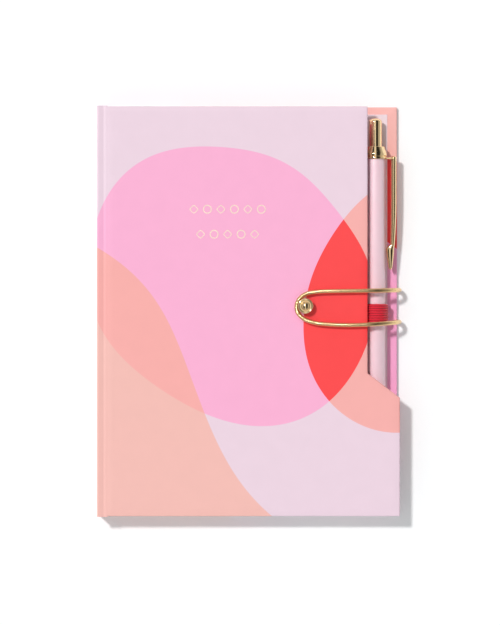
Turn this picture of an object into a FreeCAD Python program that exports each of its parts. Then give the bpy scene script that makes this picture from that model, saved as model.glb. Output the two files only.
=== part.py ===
"""Hard-cover sticky note booklet with a pen in an elastic loop and an elastic cord closure.

The booklet lies closed on its back cover. +Z is up, +X runs from the spine to the fore-edge and +Y from the
tail to the head. The origin is the middle of the back cover's underside. All sizes are in millimetres.
"""

import FreeCAD, Part
import math
import os

V = FreeCAD.Vector

# Case
COVER_WIDTH = 120.3        # back cover, from the spine's outer face to the fore-edge
COVER_HEIGHT = 164.0
FRONT_OVERHANG = 0.9       # how far the front cover reaches past the back cover at the fore-edge
BOARD = 1.8                # grey board
PAPER = 0.25               # printed and laminated covering paper
LINING = 0.2               # lining paper
TURN_IN = 12.0             # covering paper folded onto the inside of a board
EDGE_EASE = 0.3            # chamfer on the boards, which the paper follows
HINGE_GAP = 1.5            # between the lined spine and each cover's board
FOLD_CLEARANCE = 0.05      # between the spine and the strips of paper that carry the covers
MARGIN_FORE = 3.9          # printed margin left showing round the lining
MARGIN_HEAD = 2.9

# Opening in the front cover that shows the pen
PEN_WINDOW_WIDTH = 13.2    # from the front cover's fore-edge to the stepped edge
WINDOW_SLOPE_TOP = 24.8    # below the middle of the cover, where the slope leaves the stepped edge
WINDOW_SLOPE_DROP = 9.8
WINDOW_CORNER = 1.0

# Pen
PEN_RADIUS = 4.0
PEN_INSET = 8.75           # axis, from the back cover's fore-edge
PEN_HEAD_INSET = 4.6       # top of the push button, below the head of the cover
PEN_HEADROOM = 0.2         # between the barrel and the front lining
BARREL_WALL = 0.8
BARREL_LENGTH = 110.0
COLLAR_RADIUS = 4.6
COLLAR_TOP_RADIUS = 3.6
COLLAR_CONE = 2.7
COLLAR_RING = 2.3
COLLAR_SLEEVE = 7.0        # pressed into the barrel
NOSE_LENGTH = 13.0
NOSE_STRAIGHT = 5.0        # as wide as the barrel, above the cone
NOSE_TIP_RADIUS = 1.45
NOSE_SLEEVE = 6.0
RUNNING_FIT = 0.05
PLUNGER_RADIUS = 2.55
PLUNGER_SHOW = 11.3        # push button above the collar
PLUNGER_DOME = 1.1
PLUNGER_FLANGE_RADIUS = 2.95
PLUNGER_FLANGE = 1.0
THRUSTER_RADIUS = 2.3
THRUSTER_LENGTH = 12.0
THRUSTER_SOCKET = 6.0
REFILL_RADIUS = 1.5
REFILL_TIP_LENGTH = 13.5
REFILL_TIP_RADIUS = 1.1
REFILL_POINT_RADIUS = 0.35
CLICK_TRAVEL = 4.0
POINT_SHOW = 2.8           # point past the nose when it is clicked out
SPRING_RADIUS = 1.75
SPRING_WIRE = 0.3
SPRING_TURNS = 5
SPRING_STEPS = 8           # straight lengths in a turn
SPRING_SIDES = 4

# Pen clip, seen on edge: distances are from the pen's axis and from the foot of the collar
CLIP_WIDTH = 3.6
CLIP_DEPTH = 1.9
CLIP_STAND_OFF = 2.35      # clip's inner face from the barrel
CLIP_STRAIGHT = 16.0
CLIP_LENGTH = 44.5
CLIP_TIP_STAND_OFF = 1.5
CLIP_TIP = 0.7
CLIP_BOW = 0.55            # the outer face's inward bow, half-way down the bend
CLIP_BEAD_START = 34.4
CLIP_BEAD_END = 43.2
CLIP_TAB = 1.2
CLIP_EASE = 0.5
CLIP_CONTACT = 0.03

# Elastic pen loop
LOOP_Y = -0.9
LOOP_WIDTH = 7.6
LOOP_STRAP = 0.6           # squeezed under the pen
LOOP_OUTER = 1.2           # round the pen
LOOP_TAIL = 9.0            # glued under the lining
LOOP_SLIT = 4.0

# Closure stud on the front cover
STUD_X = 23.25
STUD_Y = 2.1
STUD_BASE_RADIUS = 3.0
STUD_BASE = 0.5
STUD_WAIST_RADIUS = 2.6
STUD_WAIST = 2.5
STUD_HEAD_RADIUS = 3.1
STUD_RIM = 0.9
STUD_RIM_WIDTH = 0.9
STUD_RIM_GROOVE = 0.4
STUD_DOME = 1.1
STUD_SHANK_RADIUS = 1.2
WASHER_RADIUS = 4.0
WASHER = 0.4

# Elastic closure cord, hooked round the stud and held in the back board at both ends
CORD_RADIUS = 0.9
CORD_SIDES = 6
CORD_SLOT_SIDE = 0.05
CORD_SLOT_LENGTH = 5.7
CORD_NOTCH_LENGTH = 2.1
CORD_ROUTE = [
    (54.45, 8.5, 1.15), (60.95, 8.5, 1.15), (61.15, 8.5, 6.2), (58.6, 8.4, 12.2), (51.3, 8.25, 15.45),
    (39.5, 8.1, 16.0), (28.6, 8.0, 15.85), (22.3, 6.9, 15.8), (19.3, 2.9, 15.8), (20.2, -1.6, 15.8),
    (25.3, -4.6, 15.85), (33.5, -5.4, 15.95), (42.5, -5.6, 16.0), (51.3, -5.1, 15.45),
    (58.6, -4.6, 12.2), (61.15, -4.3, 6.2), (60.95, -4.2, 1.15), (54.45, -4.2, 1.15),
]

# Sticky note pads on their card
CARD = 0.4
CARD_MARGIN_SPINE = 2.0    # from the edge of the back board
CARD_MARGIN_HEAD = 4.0
CARD_TO_PEN = 2.4
PAD_THICKNESS = 7.2
PAD_MARGIN = 2.0
PAD_GAP = 3.0
LARGE_PAD_HEIGHT = 62.0
SMALL_PAD_HEIGHT = 45.0
FLAG_COUNT = 5

# Worked out from the sizes above
COVER_STACK = BOARD + 2 * PAPER + LINING
INSIDE_HEIGHT = LOOP_STRAP + 2 * PEN_RADIUS + PEN_HEADROOM
CASE_THICKNESS = 2 * COVER_STACK + INSIDE_HEIGHT
SPINE_X = -COVER_WIDTH / 2
BACK_EDGE = COVER_WIDTH / 2
FRONT_EDGE = BACK_EDGE + FRONT_OVERHANG
HEAD = COVER_HEIGHT / 2
BOARD_START = SPINE_X + COVER_STACK + HINGE_GAP
PEN_X = BACK_EDGE - PEN_INSET
PEN_Z = COVER_STACK + LOOP_STRAP + PEN_RADIUS
PEN_TOP = HEAD - PEN_HEAD_INSET
COLLAR_TOP = PEN_TOP - PLUNGER_SHOW
COLLAR_FOOT = COLLAR_TOP - COLLAR_CONE - COLLAR_RING
BARREL_FOOT = COLLAR_FOOT - BARREL_LENGTH
NOSE_END = BARREL_FOOT - NOSE_LENGTH
BORE = PEN_RADIUS - BARREL_WALL
SLEEVE_FOOT = COLLAR_FOOT - COLLAR_SLEEVE
PLUNGER_FOOT = SLEEVE_FOOT - RUNNING_FIT - PLUNGER_FLANGE
THRUSTER_FOOT = PLUNGER_FOOT - THRUSTER_LENGTH
POINT = NOSE_END + CLICK_TRAVEL - POINT_SHOW
REFILL_FOOT = POINT + REFILL_TIP_LENGTH


def box(x0, x1, y0, y1, z0, z1):
    """A block between two corners."""
    return Part.makeBox(x1 - x0, y1 - y0, z1 - z0, V(x0, y0, z0))


def plate(outline, z0, z1):
    """A plate with a polygon outline, between two heights."""
    corners = [V(x, y, min(z0, z1)) for x, y in outline]
    return Part.Face(Part.makePolygon(corners + corners[:1])).extrude(V(0, 0, abs(z1 - z0)))


def disc(x, y, radius, z0, z1):
    """An upright round plate."""
    return Part.makeCylinder(radius, z1 - z0, V(x, y, z0))


def turned(profile, centre, axis):
    """A solid of revolution from (radius, place along the axis) points."""
    across = V(1, 0, 0)
    points = [centre + across * r + axis * s for r, s in profile]
    return Part.Face(Part.makePolygon(points + points[:1])).revolve(centre, axis, 360)


def on_pen(profile):
    """A piece turned about the pen's axis, from (radius, Y) points."""
    return turned(profile, V(PEN_X, 0, PEN_Z), V(0, 1, 0))


def upright_edges(solid, places):
    """The edges that run up and down at the given (x, y) places."""
    found = []
    for edge in solid.Edges:
        a, b = edge.Vertexes[0].Point, edge.Vertexes[-1].Point
        flat = math.hypot(a.x - b.x, a.y - b.y)
        if flat < 1e-6 and any(math.hypot(a.x - x, a.y - y) < 1e-4 for x, y in places):
            found.append(edge)
    return found


def rim_edges(solid, left):
    """The edges round the top and bottom faces of a plate, past a given X."""
    levels = (solid.BoundBox.ZMin, solid.BoundBox.ZMax)
    found = []
    for edge in solid.Edges:
        b = edge.BoundBox
        level = any(abs(b.ZMin - z) < 1e-6 and abs(b.ZMax - z) < 1e-6 for z in levels)
        if level and b.XMax > left + 1e-6:
            found.append(edge)
    return found


# Covers

def back_outline(fore, head, left):
    """Back cover set in from its edges."""
    right, top = BACK_EDGE - fore, HEAD - head
    return [(left, -top), (right, -top), (right, top), (left, top)]


def front_outline(fore, head, left):
    """Front cover set in from its edges, with the stepped and sloping edge beside the pen."""
    right, top = FRONT_EDGE - fore, HEAD - head
    step = right - PEN_WINDOW_WIDTH
    slant = math.hypot(PEN_WINDOW_WIDTH, WINDOW_SLOPE_DROP)
    shift = fore * (slant - WINDOW_SLOPE_DROP) / PEN_WINDOW_WIDTH
    high = -WINDOW_SLOPE_TOP - shift
    low = high - WINDOW_SLOPE_DROP
    return [(left, -top), (right, -top), (right, low), (step, high), (step, top), (left, top)]


def cover_plate(outline, z0, z1, corner):
    """A cover plate, with the corners of its sloping edge rounded if it has one."""
    solid = plate(outline, z0, z1)
    if len(outline) > 4:
        solid = solid.makeFillet(corner, upright_edges(solid, outline[2:4]))
    return solid


def cover(outline, outside, inward):
    """Board, covering paper and lining of one cover. inward is +1 or -1 along Z."""
    board_out = outside + inward * PAPER
    board_in = board_out + inward * BOARD
    paper_in = board_in + inward * PAPER
    inside = paper_in + inward * LINING
    board = cover_plate(outline(PAPER, PAPER, BOARD_START), board_out, board_in, WINDOW_CORNER)
    board = board.makeChamfer(EDGE_EASE, rim_edges(board, BOARD_START))
    paper = cover_plate(outline(0, 0, SPINE_X), outside, paper_in, WINDOW_CORNER + PAPER)
    paper = paper.makeChamfer(EDGE_EASE + (2 - math.sqrt(2)) * PAPER, rim_edges(paper, SPINE_X))
    hinge = plate([(SPINE_X - 1, -HEAD - 1), (BOARD_START, -HEAD - 1),
                   (BOARD_START, HEAD + 1), (SPINE_X - 1, HEAD + 1)], board_out, inside)
    window = plate(outline(TURN_IN, TURN_IN, SPINE_X), board_in, inside)
    paper = paper.cut(board).cut(hinge).cut(window)
    sheet = plate(outline(MARGIN_FORE, MARGIN_HEAD, BOARD_START), board_in, inside)
    return board, paper, sheet.cut(paper)


def spine():
    """Board, covering paper and lining of the spine, standing between the covers' hinge strips."""
    low = PAPER + FOLD_CLEARANCE
    high = CASE_THICKNESS - low
    board_out = SPINE_X + PAPER
    board_in = board_out + BOARD
    paper_in = board_in + PAPER
    board = box(board_out, board_in, -HEAD + PAPER, HEAD - PAPER, low, high)
    paper = box(SPINE_X, paper_in, -HEAD, HEAD, low, high)
    paper = paper.cut(board).cut(box(board_in, paper_in, -HEAD + TURN_IN, HEAD - TURN_IN, low, high))
    sheet = box(board_in, paper_in + LINING, -HEAD + MARGIN_HEAD, HEAD - MARGIN_HEAD, low, high)
    return board, paper, sheet.cut(paper)


# Pen

def pen_barrel():
    return on_pen([(BORE, COLLAR_FOOT), (PEN_RADIUS, COLLAR_FOOT), (PEN_RADIUS, BARREL_FOOT),
                   (BORE, BARREL_FOOT)])


def pen_collar():
    """Cone and ring above the barrel, with a sleeve pressed into it."""
    bore = PLUNGER_RADIUS + RUNNING_FIT
    return on_pen([(bore, COLLAR_TOP), (COLLAR_TOP_RADIUS, COLLAR_TOP),
                   (COLLAR_RADIUS, COLLAR_FOOT + COLLAR_RING), (COLLAR_RADIUS, COLLAR_FOOT),
                   (BORE, COLLAR_FOOT), (BORE, SLEEVE_FOOT), (bore, SLEEVE_FOOT)])


def pen_nose():
    """Tapered nose with a stepped bore for the spring and the point."""
    sleeve_top = BARREL_FOOT + NOSE_SLEEVE
    spring_bore = SPRING_RADIUS + SPRING_WIRE + 2 * RUNNING_FIT
    point_bore = REFILL_TIP_RADIUS + RUNNING_FIT
    seat = NOSE_END + NOSE_LENGTH / 4
    return on_pen([(spring_bore, sleeve_top), (BORE, sleeve_top), (BORE, BARREL_FOOT),
                   (PEN_RADIUS, BARREL_FOOT), (PEN_RADIUS, BARREL_FOOT - NOSE_STRAIGHT),
                   (NOSE_TIP_RADIUS, NOSE_END), (point_bore, NOSE_END),
                   (point_bore, seat), (spring_bore, seat)])


def pen_push_button():
    """Domed push button with the flange that keeps it in the collar."""
    bevel = math.radians(45)
    shoulder = PEN_TOP - PLUNGER_DOME
    return on_pen([(0, PEN_TOP),
                   (PLUNGER_RADIUS * math.cos(bevel), shoulder + PLUNGER_DOME * math.sin(bevel)),
                   (PLUNGER_RADIUS, shoulder), (PLUNGER_RADIUS, PLUNGER_FOOT + PLUNGER_FLANGE),
                   (PLUNGER_FLANGE_RADIUS, PLUNGER_FOOT + PLUNGER_FLANGE),
                   (PLUNGER_FLANGE_RADIUS, PLUNGER_FOOT), (0, PLUNGER_FOOT)])


def pen_thruster():
    """Plastic thruster between the push button and the refill, with a socket for the refill."""
    return on_pen([(0, PLUNGER_FOOT), (THRUSTER_RADIUS, PLUNGER_FOOT),
                   (THRUSTER_RADIUS, THRUSTER_FOOT), (REFILL_RADIUS, THRUSTER_FOOT),
                   (REFILL_RADIUS, THRUSTER_FOOT + THRUSTER_SOCKET),
                   (0, THRUSTER_FOOT + THRUSTER_SOCKET)])


def refill_tube():
    return on_pen([(0, THRUSTER_FOOT + THRUSTER_SOCKET), (REFILL_RADIUS, THRUSTER_FOOT + THRUSTER_SOCKET),
                   (REFILL_RADIUS, REFILL_FOOT), (0, REFILL_FOOT)])


def refill_tip():
    """Metal point, which slides in the end of the nose."""
    cone = POINT + 1.5 * REFILL_TIP_RADIUS
    return on_pen([(0, REFILL_FOOT), (REFILL_TIP_RADIUS, REFILL_FOOT), (REFILL_TIP_RADIUS, cone),
                   (REFILL_POINT_RADIUS, POINT), (0, POINT)])


def pen_spring():
    """Coil between the step in the nose and the shoulder of the refill, bent in short straight lengths."""
    low = NOSE_END + NOSE_LENGTH / 4 + SPRING_WIRE
    rise = REFILL_FOOT - SPRING_WIRE - low
    count = SPRING_TURNS * SPRING_STEPS
    points = []
    for i in range(count + 1):
        angle = 2 * math.pi * i / SPRING_STEPS
        out = V(math.cos(angle), 0, math.sin(angle)) * SPRING_RADIUS
        points.append(V(PEN_X, low + rise * i / count, PEN_Z) + out)
    ahead = (points[1] - points[0]).normalize()
    side = ahead.cross(V(0, 1, 0)).normalize()
    other = ahead.cross(side)
    angles = [2 * math.pi * k / SPRING_SIDES for k in range(SPRING_SIDES)]
    section = [points[0] + (side * math.cos(a) + other * math.sin(a)) * (SPRING_WIRE / 2) for a in angles]
    return Part.makePolygon(points).makePipeShell([Part.makePolygon(section + section[:1])], True, False, 1)


def pen_clip():
    """Sprung clip on the side of the pen: a bent strip with a leaf-shaped bead that bears on the barrel."""
    inner = PEN_X + PEN_RADIUS + CLIP_STAND_OFF
    outer = inner + CLIP_DEPTH
    tip_in = V(PEN_X + PEN_RADIUS + CLIP_TIP_STAND_OFF, COLLAR_FOOT - CLIP_LENGTH, 0)
    tip_out = tip_in + V(CLIP_TIP, 0, 0)
    bend = COLLAR_FOOT - CLIP_STRAIGHT
    mid = (bend + tip_out.y) / 2
    bead_top = V(inner - 0.75, COLLAR_FOOT - CLIP_BEAD_START, 0)
    contact = V(PEN_X + PEN_RADIUS + CLIP_CONTACT, COLLAR_FOOT - (CLIP_BEAD_START + CLIP_BEAD_END) / 2, 0)
    head, foot = COLLAR_FOOT + CLIP_TAB, COLLAR_FOOT
    root = PEN_X + PEN_RADIUS
    outer_curve = Part.Arc(V(outer, bend, 0), V(outer - CLIP_BOW, mid, 0), tip_out).toShape()
    bead_curve = Part.Arc(tip_in, contact, bead_top).toShape()
    inner_mid = V(inner - 0.2, (bead_top.y + bend) / 2, 0)
    inner_curve = Part.Arc(bead_top, inner_mid, V(inner, bend, 0)).toShape()
    straight = [V(inner, bend, 0), V(inner, foot, 0), V(root, foot, 0), V(root, head, 0),
                V(outer, head, 0), V(outer, bend, 0)]
    lines = [Part.LineSegment(a, b).toShape() for a, b in zip(straight, straight[1:])]
    tip = Part.LineSegment(tip_out, tip_in).toShape()
    side = Part.Face(Part.Wire([outer_curve, tip, bead_curve, inner_curve] + lines))
    side.translate(V(0, 0, PEN_Z - CLIP_WIDTH / 2))
    strip = side.extrude(V(0, 0, CLIP_WIDTH))
    collar = on_pen([(0, foot - 1), (COLLAR_RADIUS, foot - 1), (COLLAR_RADIUS, head + 1), (0, head + 1)])
    long_edges = [e for e in strip.Edges if e.BoundBox.XMax > outer - 0.01 and e.BoundBox.YLength > 5]
    return strip.makeChamfer(CLIP_EASE, long_edges).cut(collar)


def pen_loop():
    """Elastic round the pen, flattened under it, with a doubled tail glued under the lining."""
    ring = PEN_RADIUS + LOOP_OUTER
    y0, y1 = LOOP_Y - LOOP_WIDTH / 2, LOOP_Y + LOOP_WIDTH / 2
    band = on_pen([(PEN_RADIUS, y0), (ring, y0), (ring, y1), (PEN_RADIUS, y1)])
    board_in = COVER_STACK - PAPER - LINING
    band = band.cut(box(PEN_X - 2 * ring, PEN_X + 2 * ring, y0, y1, 0, COVER_STACK))
    left = PEN_X - LOOP_SLIT
    neck = box(left, PEN_X, y0, y1, board_in - LOOP_STRAP, COVER_STACK)
    tail = box(left - LOOP_TAIL, left, y0, y1, board_in - LOOP_STRAP, board_in)
    return band.fuse([neck, tail]).removeSplitter()


# Closure

def stud():
    """Turned stud: base, waist that the cord hooks round, rimmed and domed head, shank for the washer."""
    top = CASE_THICKNESS
    waist = top + STUD_BASE
    head = waist + STUD_WAIST
    rim = head + STUD_RIM
    foot = top - COVER_STACK - WASHER
    inner_rim = STUD_HEAD_RADIUS - STUD_RIM_WIDTH
    valley = inner_rim - 0.2
    groove = rim - STUD_RIM_GROOVE
    rise = [math.radians(a) for a in (0, 45)]
    dome = [(valley * math.cos(a), groove + STUD_DOME * math.sin(a)) for a in rise]
    profile = [(0, foot), (STUD_SHANK_RADIUS, foot), (STUD_SHANK_RADIUS, top),
               (STUD_BASE_RADIUS, top), (STUD_BASE_RADIUS, waist), (STUD_WAIST_RADIUS, waist),
               (STUD_WAIST_RADIUS, head), (STUD_HEAD_RADIUS, head),
               (STUD_HEAD_RADIUS, rim - 0.3), (STUD_HEAD_RADIUS - STUD_RIM_WIDTH / 2, rim)]
    profile += dome + [(0, groove + STUD_DOME)]
    return turned(profile, V(STUD_X, STUD_Y, 0), V(0, 0, 1))


def cord_bends():
    """Centre, axis, angle and radius of the arc at each corner of the route, with its two ends.

    An arc is as large as its two runs allow.
    """
    points = [V(*p) for p in CORD_ROUTE]
    bends = []
    for before, corner, after in zip(points, points[1:], points[2:]):
        back, ahead = before - corner, after - corner
        angle = math.pi - back.getAngle(ahead)
        reach = 0.45 * min(back.Length, ahead.Length)
        back, ahead = back.normalize(), ahead.normalize()
        radius = reach / math.tan(angle / 2)
        centre = corner + (back + ahead).normalize() * (radius / math.cos(angle / 2))
        axis = ahead.cross(back).normalize()
        bends.append((centre, axis, angle, radius, corner + back * reach, corner + ahead * reach))
    return bends


def closure_cord():
    """Plain tube with flat sides: each run is extruded, and each arc is turned about its centre."""
    place = V(*CORD_ROUTE[0])
    turns = [2 * math.pi * (k + 0.5) / CORD_SIDES for k in range(CORD_SIDES)]
    corners = [place + V(0, math.cos(a), math.sin(a)) * CORD_RADIUS for a in turns]
    section = Part.Face(Part.makePolygon(corners + corners[:1]))
    solids, length = [], 0
    for centre, axis, angle, radius, arc_start, arc_end in cord_bends():
        run = arc_start - place
        solids.append(section.extrude(run))
        section.translate(run)
        solids.append(section.revolve(centre, axis, math.degrees(angle)))
        section.rotate(centre, axis, math.degrees(angle))
        length += run.Length + radius * angle
        place = arc_end
    run = V(*CORD_ROUTE[-1]) - place
    solids.append(section.extrude(run))
    length += run.Length
    tube = solids[0].fuse(solids[1:])
    print("cord radii", [round(bend[3], 1) for bend in cord_bends()])
    print("cord length %.1f, volume %.1f of %.1f" % (length, tube.Volume, section.Area * length))
    return tube


def cord_slots():
    """Room for the cord's ends inside the back board, open at the fore-edge."""
    board_in = PAPER + BOARD
    half = CORD_RADIUS + CORD_SLOT_SIDE
    slots = []
    for y in (CORD_ROUTE[0][1], CORD_ROUTE[-1][1]):
        slots.append(box(BACK_EDGE - CORD_SLOT_LENGTH, BACK_EDGE + 1, y - half, y + half, PAPER, board_in))
        slots.append(box(BACK_EDGE - CORD_NOTCH_LENGTH, BACK_EDGE + 1, y - half, y + half,
                         PAPER, COVER_STACK + 1))
    return slots


# Pads

def pads():
    """Card and the pads on it: a large one, two small ones side by side and a row of page flags."""
    x0 = BOARD_START + CARD_MARGIN_SPINE
    x1 = PEN_X - COLLAR_RADIUS - CARD_TO_PEN
    top = HEAD - CARD_MARGIN_HEAD
    low = COVER_STACK + CARD
    high = low + PAD_THICKNESS
    pieces = {"pad_card": box(x0, x1, -top, top, COVER_STACK, low)}
    left, right = x0 + PAD_MARGIN, x1 - PAD_MARGIN
    large_top = top - PAD_MARGIN
    small_top = large_top - LARGE_PAD_HEIGHT - PAD_GAP
    flag_top = small_top - SMALL_PAD_HEIGHT - PAD_GAP
    flag_foot = -top + PAD_MARGIN
    pieces["large_note_pad"] = box(left, right, large_top - LARGE_PAD_HEIGHT, large_top, low, high)
    half = (right - left - PAD_GAP) / 2
    for name, start in (("left_note_pad", left), ("right_note_pad", right - half)):
        pieces[name] = box(start, start + half, small_top - SMALL_PAD_HEIGHT, small_top, low, high)
    width = (right - left - (FLAG_COUNT - 1) * PAD_GAP) / FLAG_COUNT
    for i in range(FLAG_COUNT):
        start = left + i * (width + PAD_GAP)
        pieces["page_flag_pad_%d" % (i + 1)] = box(start, start + width, flag_foot, flag_top, low, high)
    return pieces


def build():
    back_board, back_cover_paper, back_lining = cover(back_outline, 0, 1)
    front_board, front_cover_paper, front_lining = cover(front_outline, CASE_THICKNESS, -1)
    spine_board, spine_paper, spine_lining = spine()

    for slot in cord_slots():
        back_board, back_cover_paper = back_board.cut(slot), back_cover_paper.cut(slot)
        back_lining = back_lining.cut(slot)
    loop = pen_loop()
    y0, y1 = LOOP_Y - LOOP_WIDTH / 2, LOOP_Y + LOOP_WIDTH / 2
    slit_left = PEN_X - LOOP_SLIT
    tail_foot = PAPER + BOARD - LOOP_STRAP
    back_board = back_board.cut(box(slit_left - LOOP_TAIL, PEN_X, y0, y1, tail_foot, COVER_STACK))
    slit = box(slit_left, PEN_X, y0, y1, PAPER, COVER_STACK)
    back_cover_paper, back_lining = back_cover_paper.cut(slit), back_lining.cut(slit)

    shank = disc(STUD_X, STUD_Y, STUD_SHANK_RADIUS, CASE_THICKNESS - COVER_STACK - 1, CASE_THICKNESS + 1)
    washer_top = CASE_THICKNESS - COVER_STACK
    washer = disc(STUD_X, STUD_Y, WASHER_RADIUS, washer_top - WASHER, washer_top)

    pieces = {
        "back_board": back_board, "back_cover_paper": back_cover_paper, "back_lining": back_lining,
        "spine_board": spine_board, "spine_paper": spine_paper, "spine_lining": spine_lining,
        "front_board": front_board.cut(shank), "front_cover_paper": front_cover_paper.cut(shank),
        "front_lining": front_lining.cut(shank),
        "closure_stud": stud(), "stud_washer": washer.cut(shank), "closure_cord": closure_cord(),
        "pen_loop": loop, "pen_barrel": pen_barrel(), "pen_collar": pen_collar(),
        "pen_clip": pen_clip(), "pen_nose": pen_nose(), "pen_push_button": pen_push_button(),
        "pen_thruster": pen_thruster(), "refill_tube": refill_tube(), "refill_tip": refill_tip(),
        "pen_spring": pen_spring(),
    }
    pieces.update(pads())
    return pieces


os.makedirs("parts", exist_ok=True)
for name, shape in build().items():
    shape.exportStep("parts/%s.step" % name)
    print(name, "solids", len(shape.Solids), "valid", shape.isValid(), "volume", round(shape.Volume, 1))
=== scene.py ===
"""Dressed model of a hard-cover sticky note booklet with a pen in an elastic loop and a gold cord closure.

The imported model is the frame. Surfaces are worked out with numpy, in metres, and materials with shader nodes.
"""

import math

import bmesh
import bpy
import numpy as np
from bpy.props import FloatProperty, FloatVectorProperty, IntProperty, PointerProperty
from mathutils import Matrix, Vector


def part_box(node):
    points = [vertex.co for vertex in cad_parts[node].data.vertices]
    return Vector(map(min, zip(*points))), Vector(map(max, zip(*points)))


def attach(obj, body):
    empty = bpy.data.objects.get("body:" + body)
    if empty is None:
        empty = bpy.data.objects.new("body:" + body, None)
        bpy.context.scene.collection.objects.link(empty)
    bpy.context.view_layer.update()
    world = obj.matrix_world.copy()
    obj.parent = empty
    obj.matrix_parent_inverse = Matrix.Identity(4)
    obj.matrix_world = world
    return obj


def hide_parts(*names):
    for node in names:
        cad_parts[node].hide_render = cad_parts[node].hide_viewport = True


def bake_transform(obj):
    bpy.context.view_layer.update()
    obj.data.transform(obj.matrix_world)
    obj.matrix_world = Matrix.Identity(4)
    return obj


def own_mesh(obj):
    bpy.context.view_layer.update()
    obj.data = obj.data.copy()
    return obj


bl_info = {
    "name": "Sticky note booklet",
    "version": (1, 0, 0),
    "blender": (4, 5, 0),
    "location": "View3D > Sidebar > Booklet",
    "description": "Makes the covers, pen, closure and note pads of a sticky note booklet",
    "category": "Add Mesh",
}

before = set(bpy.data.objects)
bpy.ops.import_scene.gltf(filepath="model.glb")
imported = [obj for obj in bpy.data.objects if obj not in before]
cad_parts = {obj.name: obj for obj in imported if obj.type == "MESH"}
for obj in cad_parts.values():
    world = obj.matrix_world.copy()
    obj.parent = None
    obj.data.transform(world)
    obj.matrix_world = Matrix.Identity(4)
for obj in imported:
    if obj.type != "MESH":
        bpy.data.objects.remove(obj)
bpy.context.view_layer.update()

MM = 0.001
TINY = 0.00002


def srgb(red, green, blue):
    """Linear colour of an sRGB one that is given from 0 to 255."""
    parts = np.array([red, green, blue]) / 255
    linear = np.where(parts <= 0.04045, parts / 12.92, ((parts + 0.055) / 1.055) ** 2.4)
    return tuple(float(c) for c in linear)


def low(node):
    return np.array(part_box(node)[0])


def high(node):
    return np.array(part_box(node)[1])


def middle(node):
    return (low(node) + high(node)) / 2


# Places read from the frame
HEAD = high("front_cover_paper")[1]
SPINE_X = low("front_cover_paper")[0]
FRONT_EDGE = high("front_cover_paper")[0]
BACK_EDGE = high("back_cover_paper")[0]
FRONT_TOP = high("front_cover_paper")[2]
FRONT_IN = low("front_cover_paper")[2]
BACK_IN = high("back_cover_paper")[2]
BOARD_START = low("front_board")[0]
PAPER = FRONT_TOP - high("front_board")[2]
LINING_BACK = high("back_lining")[2]
LINING_FRONT = low("front_lining")[2]
LINING_SPINE = high("spine_lining")[0]
LINING_HEAD = high("back_lining")[1]
PEN = middle("pen_barrel")
PEN_RADIUS = high("pen_barrel")[0] - PEN[0]
STUD = middle("closure_stud")


# Settings

def length(name, description, default):
    return FloatProperty(name=name, description=description, default=default, unit="LENGTH")


def tint(name, description, default):
    return FloatVectorProperty(name=name, description=description, default=default, subtype="COLOR")


class CaseSettings(bpy.types.PropertyGroup):
    """Sizes of the covers and the opening beside the pen."""
    edge_round: length("Edge round", "Radius where the paper goes round a board", 0.45 * MM)
    corner_round: length("Corner round", "Radius of the covers' corners, seen from above", 0.4 * MM)
    turn_in: length("Turn-in", "Width of the paper that is folded onto the inside", 12 * MM)
    window_width: length("Opening width", "From the front cover's fore-edge to the stepped edge", 12.95 * MM)
    slope_top: length("Slope top", "Where the slope leaves the stepped edge, below the middle", 24.8 * MM)
    slope_drop: length("Slope drop", "Fall of the slope across the opening", 9.8 * MM)
    groove_depth: length("Groove depth", "How far the paper is pressed in beside the spine", 0.14 * MM)
    groove_width: length("Groove width", "Width over which the paper rises again from the groove", 0.8 * MM)


class PrintSettings(bpy.types.PropertyGroup):
    """Colours of the printed covers."""
    ground: tint("Ground", "Colour between the printed fields", srgb(237, 210, 223))
    pink: tint("Pink field", "Colour of the large round field", srgb(251, 175, 210))
    coral: tint("Coral field", "Colour of the field at the foot", srgb(245, 187, 178))
    coral_on_pink: tint("Coral on pink", "Colour where the foot's field crosses pink", srgb(249, 172, 167))
    fore_coral: tint("Fore-edge coral", "Colour of the field at the fore-edge", srgb(248, 174, 169))
    # Painted light: the back's coral is a lighter copy of the coral, to offset the shade at the turn-in, and
    # the back's pink is a little deeper, to darken its shade like light bounced off the pink parts.
    back_coral: tint("Back coral", "Colour of the back cover's field at the head", srgb(255, 188, 181))
    back_pink: tint("Back pink", "Colour of the back cover's large field", srgb(253, 170, 211))
    red: tint("Red field", "Colour where the fore-edge field crosses the pink", srgb(254, 64, 66))
    lining: tint("Lining", "Colour of the lining paper", srgb(245, 223, 229))


class PenSettings(bpy.types.PropertyGroup):
    """Sizes and colours of the pen and its loop."""
    segments: IntProperty(
        name="Segments", description="Faces round each turned piece", default=128, min=32)
    barrel: tint("Barrel", "Lacquer of the barrel", srgb(255, 214, 223))
    button_radius: length("Button radius", "Radius of the push button", 2.55 * MM)
    clip_width: length("Clip width", "Width of the clip's strip", 3.6 * MM)
    loop_ribs: IntProperty(name="Loop ribs", description="Ribs across the elastic loop", default=8, min=1)
    loop_rib: length("Rib height", "Height of the elastic loop's ribs", 0.3 * MM)
    elastic: tint("Elastic", "Colour of the elastic loop", srgb(224, 26, 54))


class ClosureSettings(bpy.types.PropertyGroup):
    """Sizes and colours of the stud, the cord and the foil marks."""
    gold: tint("Gold", "Pale gold plate", (0.95, 0.71, 0.4))
    thread: tint("Thread", "Metallic thread round the cord", (0.96, 0.67, 0.34))
    cord_radius: length("Cord radius", "Half the cord's thickness", 0.9 * MM)
    thread_pitch: length("Thread pitch", "Length of one turn of the wound thread", 0.34 * MM)
    mark_size: length("Mark size", "Half the width of a foil mark", 1.75 * MM)
    mark_line: length("Mark line", "Thickness of a foil mark's line", 0.36 * MM)
    mark_pitch: length("Mark pitch", "Distance between foil marks", 5.4 * MM)
    foil: tint("Foil", "Colour of the foil marks", (0.96, 0.8, 0.62))


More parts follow.
